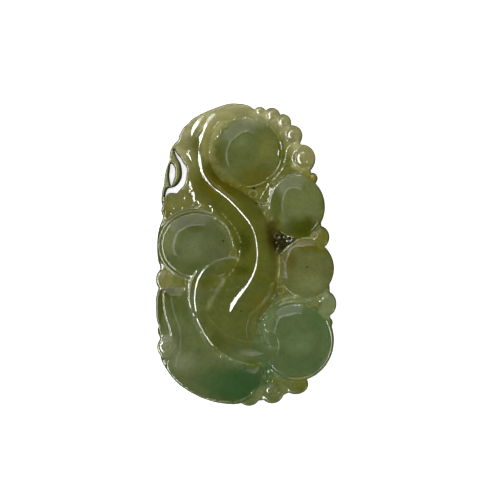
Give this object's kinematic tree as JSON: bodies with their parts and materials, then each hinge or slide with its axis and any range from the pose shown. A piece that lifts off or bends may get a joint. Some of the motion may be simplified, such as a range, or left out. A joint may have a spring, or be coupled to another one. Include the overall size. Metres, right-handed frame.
{
  "type": "carved stone pendant",
  "caption": "Carved translucent stone pendant: a ruyi with an S-shaped stem and cloud-lobed head among round fruits and edge beads, pierced for a cord, with a flat back.",
  "frame": {"origin": "middle of the flat back, which the pendant lies on", "axes": "+Y towards the pendant's top, where the cord goes; +Z out of the carved face; +X to the right of a viewer who faces the carving"},
  "size_m": [0.0298, 0.05, 0.0065],
  "materials": {
    "jade": "polished, translucent olive green with darker specks"
  },
  "bodies": {
    "root": {"pendant": "jade"}
  },
  "joints": []
}
